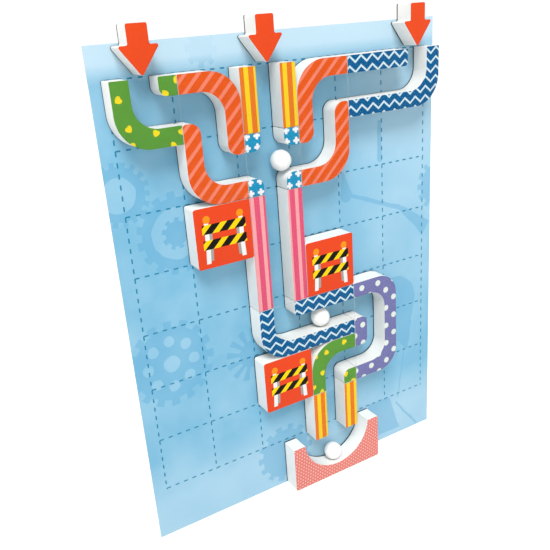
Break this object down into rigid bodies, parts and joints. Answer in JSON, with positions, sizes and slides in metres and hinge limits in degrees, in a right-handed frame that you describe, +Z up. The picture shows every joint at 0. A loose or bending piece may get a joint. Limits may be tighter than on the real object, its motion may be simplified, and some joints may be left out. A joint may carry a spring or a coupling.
{
  "type": "marble run",
  "caption": "Wall-hung marble run: a poster with a square grid carries magnetic foam track tiles with clear windows, arrows, barriers, a catcher and marbles.",
  "frame": {"origin": "middle of the poster sheet's back face", "axes": "-Y points out of the poster's printed front, +X is to the right seen from the front, +Z is up"},
  "size_m": [0.254, 0.0153, 0.3467],
  "materials": {
    "poster": "matt printed card in pale blue with a dashed grid",
    "foam": "closed-cell foam, matt, fine pores on the cut sides",
    "magnet": "flexible magnet sheet, matt dark brown",
    "window_green": "clear film, green print with small yellow leaf shapes over the walls",
    "window_orange": "clear film, orange print with salmon slanted stripes over the walls",
    "window_yellow": "clear film, yellow and orange upright stripes over the walls",
    "window_jigsaw": "clear film, sky blue and white interlocking shapes over the blocks",
    "window_blue": "clear film, blue print with white zigzags over the walls",
    "window_pink": "clear film, pink and pale pink upright stripes over the walls",
    "window_purple": "clear film, purple print with pale dots over the walls",
    "face_red": "smooth printed label in orange-red",
    "face_salmon": "smooth printed label in salmon with small white dots",
    "marble": "smooth white ball, polished"
  },
  "bodies": {
    "poster": {"poster_sheet": "poster"},
    "top_elbow": {"top_elbow_outer_wall": "foam", "top_elbow_inner_block": "foam", "top_elbow_window": "window_green"},
    "left_s_bend": {"left_s_bend_upper_wall": "foam", "left_s_bend_lower_wall": "foam", "left_s_bend_window": "window_orange"},
    "top_straight": {"top_straight_left_wall": "foam", "top_straight_right_wall": "foam", "top_straight_window": "window_yellow"},
    "cross": {"cross_upper_left_block": "foam", "cross_upper_right_block": "foam", "cross_lower_left_block": "foam", "cross_lower_right_block": "foam", "cross_window": "window_jigsaw"},
    "right_s_bend": {"right_s_bend_upper_wall": "foam", "right_s_bend_lower_wall": "foam", "right_s_bend_window": "window_orange"},
    "top_long_elbow": {"top_long_elbow_outer_wall": "foam", "top_long_elbow_inner_bar": "foam", "top_long_elbow_window": "window_blue"},
    "long_straight": {"long_straight_left_wall": "foam", "long_straight_right_wall": "foam", "long_straight_window": "window_pink"},
    "low_long_elbow": {"low_long_elbow_outer_wall": "foam", "low_long_elbow_inner_bar": "foam", "low_long_elbow_window": "window_blue"},
    "u_bend": {"u_bend_outer_wall": "foam", "u_bend_inner_wall": "foam", "u_bend_window": "window_purple"},
    "low_elbow": {"low_elbow_outer_wall": "foam", "low_elbow_inner_block": "foam", "low_elbow_window": "window_green"},
    "bottom_straight": {"bottom_straight_left_wall": "foam", "bottom_straight_right_wall": "foam", "bottom_straight_window": "window_yellow"},
    "left_arrow": {"left_arrow_magnet": "magnet", "left_arrow_foam": "foam", "left_arrow_face": "face_red"},
    "middle_arrow": {"middle_arrow_magnet": "magnet", "middle_arrow_foam": "foam", "middle_arrow_face": "face_red"},
    "right_arrow": {"right_arrow_magnet": "magnet", "right_arrow_foam": "foam", "right_arrow_face": "face_red"},
    "upper_barrier": {"upper_barrier_magnet": "magnet", "upper_barrier_foam": "foam", "upper_barrier_face": "face_red"},
    "middle_barrier": {"middle_barrier_magnet": "magnet", "middle_barrier_foam": "foam", "middle_barrier_face": "face_red"},
    "lower_barrier": {"lower_barrier_magnet": "magnet", "lower_barrier_foam": "foam", "lower_barrier_face": "face_red"},
    "catcher": {"catcher_magnet": "magnet", "catcher_foam": "foam", "catcher_face": "face_salmon"},
    "cross_marble": {"cross_marble": "marble"},
    "long_elbow_marble": {"long_elbow_marble": "marble"},
    "catcher_marble": {"catcher_marble": "marble"}
  },
  "joints": [
    {"name": "lift_top_elbow", "type": "slide", "parent": "poster", "child": "top_elbow", "axis": [0, -1, 0], "range_m": [0, 0.04]},
    {"name": "lift_left_s_bend", "type": "slide", "parent": "poster", "child": "left_s_bend", "axis": [0, -1, 0], "range_m": [0, 0.04]},
    {"name": "lift_top_straight", "type": "slide", "parent": "poster", "child": "top_straight", "axis": [0, -1, 0], "range_m": [0, 0.04]},
    {"name": "lift_cross", "type": "slide", "parent": "poster", "child": "cross", "axis": [0, -1, 0], "range_m": [0, 0.04]},
    {"name": "lift_right_s_bend", "type": "slide", "parent": "poster", "child": "right_s_bend", "axis": [0, -1, 0], "range_m": [0, 0.04]},
    {"name": "lift_top_long_elbow", "type": "slide", "parent": "poster", "child": "top_long_elbow", "axis": [0, -1, 0], "range_m": [0, 0.04]},
    {"name": "lift_long_straight", "type": "slide", "parent": "poster", "child": "long_straight", "axis": [0, -1, 0], "range_m": [0, 0.04]},
    {"name": "lift_low_long_elbow", "type": "slide", "parent": "poster", "child": "low_long_elbow", "axis": [0, -1, 0], "range_m": [0, 0.04]},
    {"name": "lift_u_bend", "type": "slide", "parent": "poster", "child": "u_bend", "axis": [0, -1, 0], "range_m": [0, 0.04]},
    {"name": "lift_low_elbow", "type": "slide", "parent": "poster", "child": "low_elbow", "axis": [0, -1, 0], "range_m": [0, 0.04]},
    {"name": "lift_bottom_straight", "type": "slide", "parent": "poster", "child": "bottom_straight", "axis": [0, -1, 0], "range_m": [0, 0.04]},
    {"name": "lift_left_arrow", "type": "slide", "parent": "poster", "child": "left_arrow", "axis": [0, -1, 0], "range_m": [0, 0.04]},
    {"name": "lift_middle_arrow", "type": "slide", "parent": "poster", "child": "middle_arrow", "axis": [0, -1, 0], "range_m": [0, 0.04]},
    {"name": "lift_right_arrow", "type": "slide", "parent": "poster", "child": "right_arrow", "axis": [0, -1, 0], "range_m": [0, 0.04]},
    {"name": "lift_upper_barrier", "type": "slide", "parent": "poster", "child": "upper_barrier", "axis": [0, -1, 0], "range_m": [0, 0.04]},
    {"name": "lift_middle_barrier", "type": "slide", "parent": "poster", "child": "middle_barrier", "axis": [0, -1, 0], "range_m": [0, 0.04]},
    {"name": "lift_lower_barrier", "type": "slide", "parent": "poster", "child": "lower_barrier", "axis": [0, -1, 0], "range_m": [0, 0.04]},
    {"name": "lift_catcher", "type": "slide", "parent": "poster", "child": "catcher", "axis": [0, -1, 0], "range_m": [0, 0.04]},
    {"name": "roll_cross_marble", "type": "slide", "parent": "poster", "child": "cross_marble", "axis": [1, 0, 0], "range_m": [-0.009, 0.024]},
    {"name": "roll_long_elbow_marble", "type": "slide", "parent": "poster", "child": "long_elbow_marble", "axis": [1, 0, 0], "range_m": [-0.027, 0.032]},
    {"name": "roll_catcher_marble", "type": "hinge", "parent": "poster", "child": "catcher_marble", "pos_m": [0.02, -0.0078, -0.1291], "axis": [0, 1, 0], "range_deg": [-55, 55]}
  ]
}
